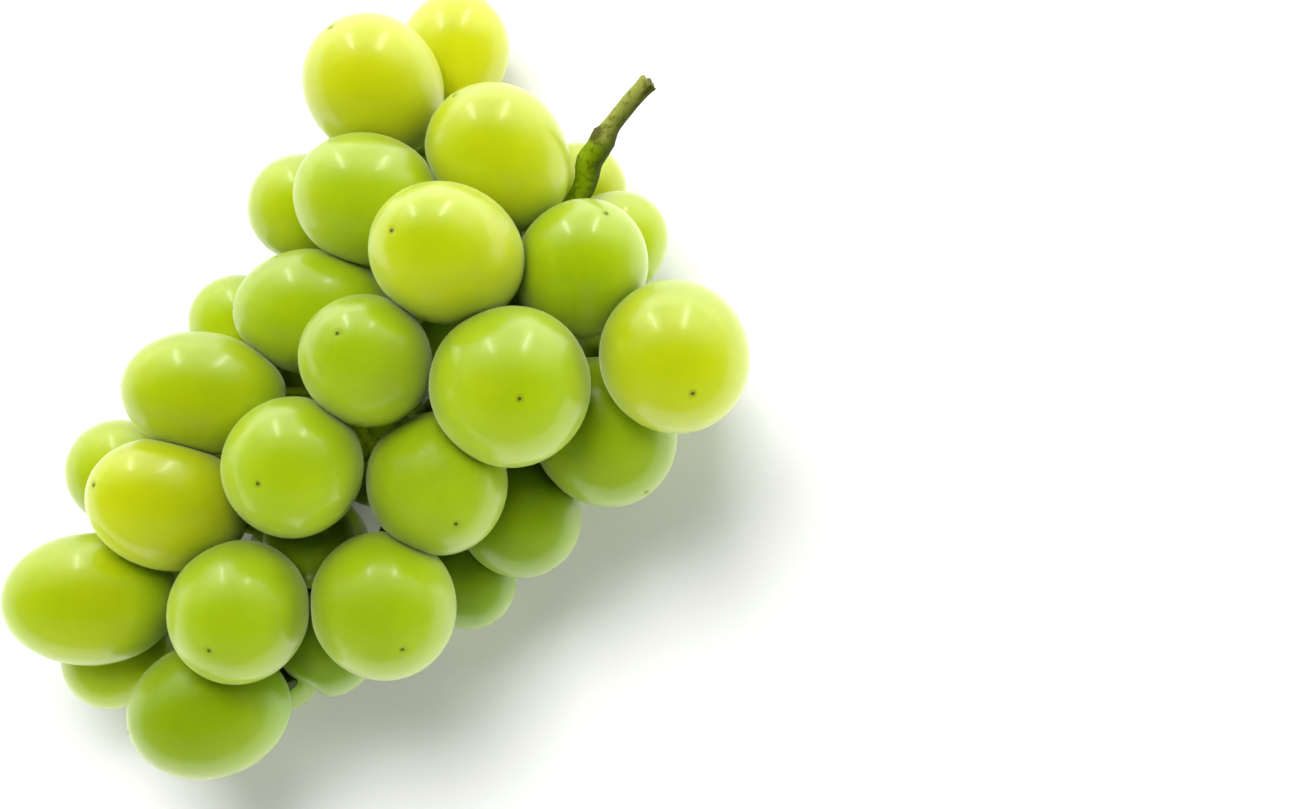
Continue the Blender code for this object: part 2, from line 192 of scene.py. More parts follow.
# How the side stems and berry stalks find their way
ROUTE_ROUNDS = 120
SLACKEN = 0.4
BEND_AWAY = 0.6
SIDE_STEM_SHARE = 0.6
SIDE_STEM_FREEDOM = (0.0, 0.5, 1.0, 1.0)
STALK_FREEDOM = (0.0, 1.0, 1.0, 1.0, 0.3, 0.0)
STALK_ARRIVAL = 3.2 * MM

# The fine berries, which are first modelled as a ball of radius 1. The hollow for the stalk is as
# wide as its angle from the axis. The dice set each berry's turn, unevenness and spots.
DICE_SEED = 11
SPOT_SEEDS = (0, 90)
BERRY_SEGMENTS = 56
BERRY_RINGS = 36
SCAR_RADIUS = 0.045
SCAR_RIM_RADIUS = 1.5 * SCAR_RADIUS
SCAR_RIM_WIDTH = 0.5 * SCAR_RADIUS
SCAR_RIM_DEPTH = 0.25 * SCAR_RADIUS
SCAR_CORK_INSET = 0.35 * SCAR_RADIUS
SCAR_CORK_RISE = 0.3 * SCAR_RADIUS
STALK_HOLLOW = 0.16
STALK_HOLLOW_DEPTH = 0.35 * STALK_HOLLOW
SWELL_WAVES = 4
SWELL_WAVE_SPREAD = 1.6
FULLER_END = (-0.03, 0.04)
UNEVENNESS = 0.006

# How a berry's skin keeps behind the planes of what it touches
PRESS_ROUNDING = 55
SKIN_GAP = 0.04 * MM
NO_HEIGHT = 1e-9
OUT_OF_REACH = 3
OWN_STALK_COSINE = -0.95
NO_LENGTH = 1e-12

# The fine stem. Places along the main stem count the points of its route.
FINE_STEPS = 8
FINE_SIDE_STEPS = 4
TUBE_ROUNDNESS = 3
STEM_GRAIN = 0.36 * MM
SOFTEN_SHARE = 0.5
SOFTEN_ROUNDS = 2
SIDE_STEM_START = 1.25
SIDE_STEM_THINNING = 0.35
STALK_FORK_FLARE = 0.25
STALK_FORK_POWER = 4
STALK_DISC_FLARE = 1.15
STALK_DISC_POWER = 14
ELBOW_PLACE = 2.52
ELBOW_SPREAD = 0.24
ELBOW_SWELL = 0.35 * MM
ELBOW_SHIFT = (-0.9 * MM, 0.25 * MM, 0.0)
BUD_SIDE = (-1.0, 0.2, 0.45)
BUD_RISE = 0.6 * MM
BUD_LEAN = math.radians(20)
BUD_SIZE = (0.6 * MM, 1.0 * MM, 1.3 * MM)
BUD_SEGMENTS = 16
BUD_RINGS = 10

# The torn end: its depth, how far its rim stands up and its middle sinks as shares of that, and
# the waves round its rim, each with its height, its number round the rim and its start
TORN_DEPTH = 1.5 * MM
TORN_RIM_RISE = 0.5
TORN_MIDDLE_SINK = 0.6
TORN_RIM_WAVES = (
    (0.6, 2, 0.5),
    (0.3, 5, 0.0),
    (0.2, 9, 2.0),
)

# The side of the main stem that is painted paler than the other, as painted light, while the other side
# is painted darker, as painted shade
LIT_SIDE = (-0.8, 0.5, 0.33)
RACHIS_REACH = 1.5 * RACHIS_RADIUS

# Colours of the berries, as a screen shows them, from 0 to 255
# Ripeness picks between these three, so they also give the berries painted light and shade: darker green
# in shade, yellower where lit.
GREEN_SKIN = (108, 137, 4)
TURNING_SKIN = (152, 175, 5)
YELLOW_SKIN = (190, 194, 8)
STALK_END_SKIN = (120, 170, 20)
BLOOM = (180, 196, 100)
SPECK = (120, 130, 20)
SCAR_OLIVE = (134, 150, 14)
CORK_BROWN = (78, 74, 14)
SHEEN = (236, 250, 190)

# Colours of the stem, each as a copy for its lit side and one for its shaded side: painted light and
# shade
SHADED_SIDE_GREEN = (54, 71, 0)
LIT_SIDE_GREEN = (122, 146, 10)
SHADED_SIDE_WEATHERED = (56, 65, 0)
LIT_SIDE_WEATHERED = (146, 152, 70)
STREAK = (46, 54, 2)
CRACK = (44, 44, 8)
BUD_COLLAR = (60, 58, 14)
BUD_TIP = (104, 100, 58)
CUT_FACE_DARK = (96, 92, 60)
CUT_FACE_PALE = (150, 146, 104)

# The floor
FLOOR_SIZE = 8
FLOOR_DROP = 0.2 * MM
FLOOR_WHITE = 0.95
FLOOR_ROUGHNESS = 0.6

# The dark patch of the surroundings, as the halves of its width and height. Their light gets
# stronger outside it, and more so towards the top of the picture.
PATCH_HALF_WIDTH = 0.92
PATCH_HALF_HEIGHT = 0.56
PATCH_EDGE = (0.85, 1.3)
PATCH_LIGHT = 0.01
LOW_LIGHT = 0.2
LIGHT_RISE = 0.5
LIGHT_RISE_EDGE = (-0.2, 0.6)

# The lamps, in the bunch's own frame in metres. A lamp has its name, its place, the point that it
# aims at, its width and height, the brightness of its face, with white as 1, whether it is mirrored,
# and whether it lights matt surfaces.
BUNCH_MIDDLE = (0, 0, 0.04)
LAMPS = (
    ("key", (0.04, 0.42, 0.14), BUNCH_MIDDLE, 0.95, 0.3, 1.0, True, False),
    ("left strip", (-0.14, 0.37, 0.17), BUNCH_MIDDLE, 0.022, 0.24, 13.0, True, False),
    ("left side", (-1.2, 0, 0.24), BUNCH_MIDDLE, 1.3, 0.4, 3.6, False, True),
    ("right strip", (0.14, 0.37, 0.17), BUNCH_MIDDLE, 0.022, 0.24, 13.0, True, False),
    ("right side", (1.2, 0, 0.24), BUNCH_MIDDLE, 1.3, 0.4, 6.8, False, True),
    ("front", (0, -1.2, 0.24), BUNCH_MIDDLE, 1.6, 0.4, 6.0, False, True),
    ("high lamp", (-0.2, 0.6, 1.3), BUNCH_MIDDLE, 0.7, 0.7, 14.6, False, True),
    ("far floor lamp", (0, 0.2, 0.25), (0, 0.65, 0.03), 0.6, 0.25, 5.0, False, True),
)

# The photograph's view, in the bunch's own frame, with the lens and the sensor's width in mm
CAMERA_PLACE = (58 * MM, 0.0, 665 * MM)
CAMERA_LENS = 91.06
CAMERA_SENSOR = 36
CAMERA_NEAR = 10 * MM


def unit(vectors):
    """Directions, each one long."""
    vectors = np.asarray(vectors, float)
    return vectors / np.linalg.norm(vectors, axis=-1, keepdims=True)


def nearest_on_route(points, route):
    """The nearest place on a route of straight runs, and its distance, for each point."""
    nearest = np.zeros_like(points)
    distance = np.full(len(points), np.inf)
    for start, end in zip(route[:-1], route[1:]):
        run = end - start
        share = np.clip((points - start) @ run / (run @ run), 0, 1)
        place = start + share[:, None] * run
        length = np.linalg.norm(points - place, axis=1)
        closer = length < distance
        nearest[closer] = place[closer]
        distance[closer] = length[closer]
    return nearest, distance


def reach(directions, ovals):
    """How far an oval reaches from its centre to its tangent plane across a direction."""
    return np.sqrt(np.einsum("ka,kab,kb->k", directions, ovals, directions))


def between(centres, ovals, first, second, rounds):
    """The clear distance between pairs of ovals and the direction across it."""
    apart = centres[second] - centres[first]
    length = np.linalg.norm(apart, axis=1, keepdims=True)
    across = unit(apart)
    for _ in range(rounds):
        first_touch = np.einsum("kab,kb->ka", ovals[first], across)
        first_touch /= reach(across, ovals[first])[:, None]
        second_touch = np.einsum("kab,kb->ka", ovals[second], across)
        second_touch /= reach(across, ovals[second])[:, None]
        turn = apart - first_touch - second_touch
        turn -= (turn * across).sum(1, keepdims=True) * across
        across = unit(across + TURN_TO_CONTACT * turn / length)
    clear = (across * apart).sum(1) - reach(across, ovals[first]) - reach(across, ovals[second])
    return clear, across


class Bunch:
    """Centres, tip directions and oval matrices of all berries, and the main stem's route."""

    def __init__(self):
        rows = [(number, *berry) for number, branch in enumerate(BRANCHES) for berry in branch]
        self.branch = np.array([row[0] for row in rows])
        self.home = np.array([row[1] for row in rows], float) * MM
        self.width = np.array([row[2] for row in rows]) * MM
        self.length = np.array([row[3] for row in rows]) * MM
        self.hidden = np.array([row[4] is None for row in rows])
        self.ripeness_and_painted_light = np.array([row[5] for row in rows])
        self.route = np.array(RACHIS_ROUTE, float) * MM
        inner = self.route[FIRST_FORK_POINT:]
        lean = HIDDEN_TIP_LEAN * unit(inner[-1] - inner[0])
        outward = unit(self.home - nearest_on_route(self.home, inner)[0])
        tips = [outward[k] + lean if row[4] is None else row[4] for k, row in enumerate(rows)]
        self.tips = unit(tips)
        long_way = (self.length / 2) ** 2
        cross_way = (self.width / 2) ** 2
        along = self.tips[:, :, None] * self.tips[:, None, :]
        self.ovals = cross_way[:, None, None] * np.eye(3) + (long_way - cross_way)[:, None, None] * along
        self.centres = self.home.copy()
        self.settle()

    def settle(self):
        first, second = np.triu_indices(len(self.centres), 1)
        mates = (second == first + 1) & (self.branch[first] == self.branch[second])
        hold = np.where(self.hidden[:, None], [HOLD_HIDDEN], [HOLD_SEEN])
        sink = np.where(self.hidden, HIDDEN_SINK, SINK)
        half_height = np.sqrt(self.ovals[:, 2, 2])
        for _ in range(SETTLE_ROUNDS):
            clear, across = between(self.centres, self.ovals, first, second, SETTLE_CONTACT_ROUNDS)
            fault = np.where(mates, clear + PRESS_ON_BRANCH, np.minimum(clear + PRESS, 0))
            shove = PUSH_APART * fault[:, None] * across
            move = hold * (self.home - self.centres)
            np.add.at(move, first, shove)
            np.add.at(move, second, -shove)
            nearest, distance = nearest_on_route(self.centres, self.route)
            outward = (self.centres - nearest) / distance[:, None]
            room = distance - reach(outward, self.ovals) - RACHIS_RADIUS - 2 * GAP
            move -= PUSH_OFF_STEM * np.minimum(room, 0)[:, None] * outward
            low = np.maximum(half_height - REST_FLAT - self.centres[:, 2], 0)
            move[:, 2] += LIFT_OFF_SURFACE * low - sink
            self.centres += move

    def stalk_ends(self, beyond):
        """Points past the stalk end of each berry, on its axis."""
        return self.centres - self.tips * (self.length / 2 + beyond)[:, None]

    def to_part(self):
        """The turn and shift from the bunch's own frame to the part's."""
        cosine, sine = math.cos(BUNCH_TURN), math.sin(BUNCH_TURN)
        middle = []
        for way in (np.array((cosine, -sine, 0.0)), np.array((sine, cosine, 0.0))):
            ways = np.repeat(way[None], len(self.centres), 0)
            far = (self.centres @ way + reach(ways, self.ovals)).max()
            near = (self.centres @ way - reach(ways, self.ovals)).min()
            middle.append((max(far, self.route[0] @ way) + near) / 2)
        return Matrix.Translation((-middle[0], -middle[1], 0)) @ Matrix.Rotation(BUNCH_TURN, 4, "Z")


def smooth_route(points, steps):
    """A curve through the points, with a number of steps between each two."""
    ends = [2 * points[0] - points[1], *points, 2 * points[-1] - points[-2]]
    curve = []
    for before, start, end, after in zip(ends[:-3], ends[1:-2], ends[2:-1], ends[3:]):
        for step in range(steps):
            t = step / steps
            curve.append(
                start
                + 0.5 * t * (end - before)
                + t * t * (before - 2.5 * start + 2 * end - 0.5 * after)
                + 0.5 * t ** 3 * (3 * start - before - 3 * end + after)
            )
    curve.append(points[-1])
    return np.array(curve)


def bend_clear(points, freedom, bunch, radius):
    """Slacken a route and bend its free points clear of all berries."""
    free = np.array(freedom)
    shapes = np.linalg.inv(bunch.ovals)
    room = (radius + 2 * GAP) / (bunch.width / 2)
    for _ in range(ROUTE_ROUNDS):
        slack = (points[:-2] + points[2:]) / 2 - points[1:-1]
        points[1:-1] += SLACKEN * free[1:-1, None] * slack
        offset = points[:, None] - bunch.centres
        pull = np.einsum("kab,pkb->pka", shapes, offset)
        depth = np.sqrt((pull * offset).sum(2))
        inside = np.clip(1 + room - depth, 0, None)
        push = inside[:, :, None] * unit(pull) * (bunch.width / 2)[:, None]
        points += BEND_AWAY * free[:, None] * push.sum(1)
    return points


class Stem:
    """Routes of the stem's branches, as runs of points with their radii."""

    def __init__(self, bunch):
        self.bunch = bunch
        self.rachis = smooth_route(bunch.route, RACHIS_STEPS)
        self.rachis_radii = self.taper()
        self.discs = bunch.stalk_ends(GAP - STALK_END_FLAT + STALK_DISC_DEPTH / 2)
        self.sides = []
        self.stalks = []
        for number in range(len(BRANCHES)):
            self.grow_branch(number)

    def taper(self):
        knot = KNOT_POINT * RACHIS_STEPS
        radii = np.full(len(self.rachis), PEDUNCLE_RADIUS)
        radii[knot:] = np.linspace(RACHIS_RADIUS, RACHIS_TIP_RADIUS, len(radii) - knot)
        radii[knot] = KNOT_RADIUS
        radii[0] = CUT_END_RADIUS
        return radii

    def grow_branch(self, number):
        bunch = self.bunch
        berries = np.nonzero(bunch.branch == number)[0]
        ends = self.discs[berries]
        inner = self.rachis[FIRST_FORK_POINT * RACHIS_STEPS:]
        middle = ends.mean(0)
        start = inner[np.argmin(np.linalg.norm(inner - middle, axis=1))]
        steps = np.linspace(0, SIDE_STEM_SHARE, len(SIDE_STEM_FREEDOM))
        side = start + steps[:, None] * (middle - start)
        side = bend_clear(side, SIDE_STEM_FREEDOM, bunch, SIDE_STEM_RADIUS)
        self.sides.append(side)
        for berry, end in zip(berries, ends):
            arrival = end - STALK_ARRIVAL * bunch.tips[berry]
            fork = side[-1]
            steps = np.linspace(0, 1, len(STALK_FREEDOM) - 1)
            stalk = np.vstack((fork + steps[:, None] * (arrival - fork), end))
            self.stalks.append(bend_clear(stalk, STALK_FREEDOM, bunch, STALK_RADIUS))


def press_planes(bunch, stem):
    """For each berry, the planes that its skin stays behind, as directions and distances."""
    planes = [[] for _ in bunch.centres]
    first, second = np.triu_indices(len(bunch.centres), 1)
    clear, across = between(bunch.centres, bunch.ovals, first, second, CONTACT_ROUNDS)
    for a, b, space, way in zip(first, second, clear, across):
        if space > 2 * GAP:
            continue
        give = (space - SKIN_GAP) / 2
        planes[a].append((way, math.sqrt(way @ bunch.ovals[a] @ way) + give))
        planes[b].append((-way, math.sqrt(way @ bunch.ovals[b] @ way) + give))
    runs = [(stem.rachis, stem.rachis_radii)]
    runs += [(side, np.full(len(side), SIDE_STEM_RADIUS)) for side in stem.sides]
    runs += [(stalk, np.full(len(stalk), STALK_RADIUS)) for stalk in stem.stalks]
    for points, thickness in runs:
        widest = np.maximum(thickness[:-1], thickness[1:])
        for start, end, radius in zip(points[:-1], points[1:], widest):
            add_stem_planes(planes, bunch, start, end, radius)
    for berry, disc in enumerate(stem.discs):
        add_stem_planes(planes, bunch, disc, disc, STALK_DISC_RADIUS, skip=berry)
    for berry, centre in enumerate(bunch.centres):
        planes[berry].append((np.array((0.0, 0.0, -1.0)), centre[2]))
    return planes


def add_stem_planes(planes, bunch, start, end, radius, skip=None):
    """Keep every berry behind a plane that touches a stretch of stem."""
    step = end - start
    along = (bunch.centres - start) @ step / max(step @ step, NO_LENGTH)
    nearest = start + np.clip(along, 0, 1)[:, None] * step
    distance = np.linalg.norm(nearest - bunch.centres, axis=1)
    way = (nearest - bunch.centres) / distance[:, None]
    limit = distance - radius - SKIN_GAP
    for berry in np.nonzero(reach(way, bunch.ovals) > limit)[0]:
        at_own_stalk = way[berry] @ bunch.tips[berry] < OWN_STALK_COSINE
        if berry != skip and not at_own_stalk:
            planes[berry].append((way[berry], limit[berry]))


def deselect_all():
    for piece in list(bpy.context.selected_objects):
        piece.select_set(False)
    bpy.context.view_layer.objects.active = None


def select_faces(piece, wanted):
    """In edit mode, select the faces whose middle fits."""
    bpy.ops.mesh.select_all(action="DESELECT")
    build = bmesh.from_edit_mesh(piece.data)
    for face in build.faces:
        face.select_set(wanted(face.calc_center_median()))
    bmesh.update_edit_mesh(piece.data)


def model_plain_berry():
    """A ball of radius 1 with a corky scar at its tip, on top, and a hollow for its stalk below."""
    deselect_all()
    bpy.ops.mesh.primitive_uv_sphere_add(segments=BERRY_SEGMENTS, ring_count=BERRY_RINGS, radius=1)
    plain = bpy.context.object
    ring_step = math.pi / BERRY_RINGS
    bpy.ops.object.mode_set(mode="EDIT")
    bpy.ops.mesh.select_mode(type="FACE")
    select_faces(plain, lambda middle: middle.z > math.cos(ring_step))
    bpy.ops.mesh.inset(thickness=math.sin(ring_step) - SCAR_RIM_RADIUS, depth=0)
    bpy.ops.mesh.inset(thickness=SCAR_RIM_WIDTH, depth=-SCAR_RIM_DEPTH)
    bpy.ops.mesh.inset(thickness=SCAR_CORK_INSET, depth=SCAR_CORK_RISE)
    select_faces(plain, lambda middle: middle.z < -math.cos(STALK_HOLLOW))
    bpy.ops.transform.translate(value=(0, 0, STALK_HOLLOW_DEPTH))
    bpy.ops.object.mode_set(mode="OBJECT")
    bpy.ops.object.shade_smooth()
    plain.name = "plain_berry"
    return plain


def read_points(mesh):
    points = np.empty(len(mesh.vertices) * 3)
    mesh.vertices.foreach_get("co", points)
    return points.reshape(-1, 3)


def write_points(mesh, points):
    mesh.vertices.foreach_set("co", np.ascontiguousarray(points, dtype=float).ravel())
    mesh.update()


def add_attribute(mesh, name, values):
    """A value or a place for every point of a mesh, which its material reads."""
    values = np.asarray(values, dtype=np.float32)
    if values.ndim == 2:
        layer = mesh.attributes.new(name=name, type="FLOAT_VECTOR", domain="POINT")
        layer.data.foreach_set("vector", values.ravel())
    else:
        layer = mesh.attributes.new(name=name, type="FLOAT", domain="POINT")
        layer.data.foreach_set("value", values)


def grow_unevenly(points, dice):
    """Swell a ball a little here and there, and make one end a little fuller."""
    swell = np.zeros(len(points))
    for _ in range(SWELL_WAVES):
        wave = np.array([dice.gauss(0, SWELL_WAVE_SPREAD) for _ in range(3)])
        swell += np.sin(points @ wave + dice.uniform(0, math.tau))
    fuller = 1 + dice.uniform(*FULLER_END) * points[:, 2:]
    grown = points * (1 + UNEVENNESS * swell[:, None])
    grown[:, :2] *= fuller
    return grown


def press(points, planes):
    """Flatten a berry where it meets its neighbours, with softly rounded edges."""
    ways = np.array([plane[0] for plane in planes])
    limits = np.array([plane[1] for plane in planes])
    heights = points @ ways.T
    share = np.where(heights > NO_HEIGHT, limits / np.maximum(heights, NO_HEIGHT), OUT_OF_REACH)
    within = share < OUT_OF_REACH
    weight = np.exp(-PRESS_ROUNDING * (np.clip(share, 0, OUT_OF_REACH) - 1)) * within
    return points * (1 - np.log(1 + weight.sum(1)) / PRESS_ROUNDING)[:, None]


def model_berries(bunch, stem, to_part, skin):
    """One piece for each berry, copied from a plain one and shaped by its neighbours."""
    plain = model_plain_berry()
    ball = read_points(plain.data)
    planes = press_planes(bunch, stem)
    whole = np.array(to_part)
    dice = random.Random(DICE_SEED)
    for berry, branch in enumerate(bunch.branch):
        node = f"grapes_branch_{branch + 1:02d}"
        place_on_branch = berry - int(np.argmax(bunch.branch == branch)) + 1
        mesh = plain.data.copy()
        size = np.array((bunch.width[berry], bunch.width[berry], bunch.length[berry])) / 2
        turn = Vector(bunch.tips[berry]).to_track_quat("Z", "Y").to_matrix()
        turn = np.array(turn @ Matrix.Rotation(dice.uniform(0, math.tau), 3, "Z"))
        points = press(grow_unevenly(ball, dice) * size @ turn.T, planes[berry])
        write_points(mesh, (points + bunch.centres[berry]) @ whole[:3, :3].T + whole[:3, 3])
        add_attribute(mesh, "berry_place", ball * size / MM)
        add_attribute(mesh, "berry_seed", np.full(len(ball), dice.uniform(*SPOT_SEEDS)))
        add_attribute(mesh, "ripeness_and_painted_light", np.full(len(ball), bunch.ripeness_and_painted_light[berry]))
        mesh.materials.clear()
        mesh.materials.append(skin)
        piece = bpy.data.objects.new(f"grape_{branch + 1:02d}_{place_on_branch}", mesh)
        bpy.context.scene.collection.objects.link(piece)
        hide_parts(node)
        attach(piece, "root")
    bpy.data.objects.remove(plain)


def model_tube(points, radii):
    """A round tube along a smooth route, with its own radius at each point."""
    curve = bpy.data.curves.new("stem run", "CURVE")
    curve.dimensions = "3D"
    curve.bevel_depth = 1
    curve.bevel_resolution = TUBE_ROUNDNESS
    curve.use_fill_caps = True
    spline = curve.splines.new("POLY")
    spline.points.add(len(points) - 1)
    for spot, point, radius in zip(spline.points, points, radii):
        spot.co = (*point, 1)
        spot.radius = radius
    piece = bpy.data.objects.new("stem run", curve)
    bpy.context.scene.collection.objects.link(piece)
    return piece


def fine_rachis(stem):
    """The main stem's smooth route, with its radius at each point."""
    route = smooth_route(np.array(RACHIS_ROUTE, float) * MM, FINE_STEPS)
    places = np.linspace(0, len(RACHIS_ROUTE) - 1, len(route))
    coarse_places = np.linspace(0, len(RACHIS_ROUTE) - 1, len(stem.rachis))
    radii = np.interp(places, coarse_places, stem.rachis_radii)
    elbow = np.exp(-((places - ELBOW_PLACE) / ELBOW_SPREAD) ** 2)
    radii += ELBOW_SWELL * elbow
    return route + elbow[:, None] * np.array(ELBOW_SHIFT), radii


def add_bud_scale(route):
    """A dry scale that stands out at the knot, on its left."""
    knot = KNOT_POINT * FINE_STEPS
    way = Vector(route[knot] - route[knot + 1]).normalized()
    left = Vector(BUD_SIDE) - Vector(BUD_SIDE).dot(way) * way
    left.normalize()
    place = Vector(route[knot]) + (KNOT_RADIUS - BUD_SIZE[0]) * left + BUD_RISE * way
    turn = Matrix((left, way.cross(left), way)).transposed().to_4x4()
    turn = turn @ Matrix.Rotation(BUD_LEAN, 4, "Y")
    bpy.ops.mesh.primitive_uv_sphere_add(segments=BUD_SEGMENTS, ring_count=BUD_RINGS, radius=1)
    bud = bpy.context.object
    bud.name = "bud scale"
    bud.data.transform(Matrix.Translation(place) @ turn @ Matrix.Diagonal((*BUD_SIZE, 1)))
    return bud, np.array(place)


def tear_end(points, route):
    """Leave the cut end uneven: its rim stands up in fibres round a shallow hollow."""
    way = unit(route[0] - route[1])
    across = unit(np.cross(way, (0.0, 0.0, 1.0)))
    offset = points - route[0]
    along = offset @ way
    aside = offset - along[:, None] * way
    angle = np.arctan2(aside @ across, aside @ np.cross(way, across))
    out = np.clip(np.linalg.norm(aside, axis=1) / CUT_END_RADIUS, 0, 1)
    near = np.clip(1 + along / TORN_DEPTH, 0, 1) * (along < TORN_DEPTH)
    rim = sum(height * np.cos(number * angle + start) for height, number, start in TORN_RIM_WAVES)
    lift = TORN_DEPTH * (TORN_RIM_RISE * rim * out - TORN_MIDDLE_SINK * (1 - out ** 2))
    return points + (near ** 2 * lift)[:, None] * way


def mark_stem(piece, points, route, bud):
    """Say for the paint how far each point lies from the cut end, back along the stem and on past
    it, how far from the bud scale, and how far towards the side that is painted lit."""
    gaps = np.linalg.norm(points[:, None] - route[None], axis=2)
    nearest = gaps.argmin(1)
    travelled = np.concatenate(([0], np.cumsum(np.linalg.norm(np.diff(route, axis=0), axis=1))))
    far_off = np.clip(gaps.min(1) - RACHIS_REACH, 0, None)
    past_end = (points - route[0]) @ unit(route[0] - route[1])
    # How far towards the side that gets painted light; the far side gets painted shade.
    to_lit_side = (points - route[nearest]) @ unit(LIT_SIDE)
    add_attribute(piece.data, "from_cut", (travelled[nearest] + far_off) / MM)
    add_attribute(piece.data, "past_end", past_end / MM)
    add_attribute(piece.data, "from_bud", np.linalg.norm(points - bud, axis=1) / MM)
    add_attribute(piece.data, "to_lit_side", to_lit_side / RACHIS_RADIUS)


def model_stem(bunch, stem, to_part, green_wood):
    """The main stem with its side stems, berry stalks and discs, grown together as one piece."""
    deselect_all()
    route, radii = fine_rachis(stem)
    bud, bud_place = add_bud_scale(route)
    runs = [model_tube(route, radii), bud]
    for side in stem.sides:
        fine = smooth_route(list(side), FINE_SIDE_STEPS)
        share = np.linspace(0, 1, len(fine))
        thinning = SIDE_STEM_START - SIDE_STEM_THINNING * share
        runs.append(model_tube(fine, SIDE_STEM_RADIUS * thinning))
    for stalk in stem.stalks:
        fine = smooth_route(list(stalk), FINE_SIDE_STEPS)
        share = np.linspace(0, 1, len(fine))
        at_fork = STALK_FORK_FLARE * (1 - share) ** STALK_FORK_POWER
        at_disc = STALK_DISC_FLARE * share ** STALK_DISC_POWER
        runs.append(model_tube(fine, STALK_RADIUS * (1 + at_fork + at_disc)))
    for piece in runs:
        piece.select_set(True)
    bpy.context.view_layer.objects.active = runs[0]
    bpy.ops.object.convert(target="MESH")
    bpy.ops.object.join()
    piece = bpy.context.object
    piece.name = "grape_stem"
    remesh = piece.modifiers.new("Grow together", "REMESH")
    remesh.mode = "VOXEL"
    remesh.voxel_size = STEM_GRAIN
    smooth = piece.modifiers.new("Soften", "SMOOTH")
    smooth.factor = SOFTEN_SHARE
    smooth.iterations = SOFTEN_ROUNDS
    for modifier in list(piece.modifiers):
        bpy.ops.object.modifier_apply(modifier=modifier.name)
    points = tear_end(read_points(piece.data), route)
    mark_stem(piece, points, route, bud_place)
    whole = np.array(to_part)
    write_points(piece.data, points @ whole[:3, :3].T + whole[:3, 3])
    bpy.ops.object.shade_smooth()
    piece.data.materials.clear()
    piece.data.materials.append(green_wood)
    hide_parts("stem")
    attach(piece, "root")


class Socket:
    """A shader value that Python sums can be written with."""

    def __init__(self, paint, output):
        self.paint = paint
        self.output = output

    def math(self, operation, *values):
        return self.paint.node("Math", {"operation": operation}, dict(enumerate(values)))

    def __abs__(self):
        return self.math("ABSOLUTE", self)

    def __add__(self, other):
        return self.math("ADD", self, other)

    __radd__ = __add__

    def __mul__(self, other):
        return self.math("MULTIPLY", self, other)

    __rmul__ = __mul__

    def __sub__(self, other):
        return self.math("SUBTRACT", self, other)

    def __rsub__(self, other):
        return self.math("SUBTRACT", other, self)

    def __truediv__(self, other):
        return self.math("DIVIDE", self, other)

    def __pow__(self, other):
        return self.math("POWER", self, other)

    def scaled(self, low, high):
        """0 below low and 1 above high, with an even change between."""
        return self.paint.node("MapRange", None, {"Value": self, "From Min": low, "From Max": high})

    def ramp(self, low, high):
        """0 below low and 1 above high, with a soft change between."""
        settings = {"interpolation_type": "SMOOTHSTEP"}
        return self.paint.node("MapRange", settings, {"Value": self, "From Min": low, "From Max": high})


class Paint:
    """A material or a world whose nodes are added by one method."""

    def __init__(self, painted):
        self.painted = painted
        painted.use_nodes = True
        self.tree = painted.node_tree
        self.tree.nodes.clear()

    def node(self, kind, settings=None, values=None, output=0):
        node = self.tree.nodes.new("ShaderNode" + kind)
        for name, value in (settings or {}).items():
            setattr(node, name, value)
        for name, value in (values or {}).items():
            if isinstance(value, Socket):
                self.tree.links.new(value.output, node.inputs[name])
            else:
                node.inputs[name].default_value = value
        return Socket(self, node.outputs[output])

    def attribute(self, name, output="Fac"):
        return self.node("Attribute", {"attribute_name": name}, output=output)

    def along(self, way, axis):
        """How far a place lies, or a direction goes, along an axis."""
        return self.node("VectorMath", {"operation": "DOT_PRODUCT"}, {0: way, 1: axis}, output="Value")

    def mix(self, factor, colour, other):
        return self.node("Mix", {"data_type": "RGBA"}, {0: factor, 6: colour, 7: other}, output=2)

    def noise(self, vector, seed, scale, detail):
        values = {"Vector": vector, "W": seed, "Scale": scale, "Detail": detail}
        return self.node("TexNoise", {"noise_dimensions": "4D"}, values)

    def finish(self, values):
        self.end("Material", self.node("BsdfPrincipled", None, values))
        return self.painted

    def end(self, kind, shader):
        """Link what is to be seen to the output, which has no socket of its own to give back."""
        end = self.tree.nodes.new("ShaderNodeOutput" + kind)
        self.tree.links.new(shader.output, end.inputs["Surface"])


def linear(red, green, blue):
    """A colour as a screen shows it, from 0 to 255, as the shader counts light."""
    def share(value):
        value /= 255
        return value / 12.92 if value <= 0.04045 else ((value + 0.055) / 1.055) ** 2.4
    return (share(red), share(green), share(blue), 1)


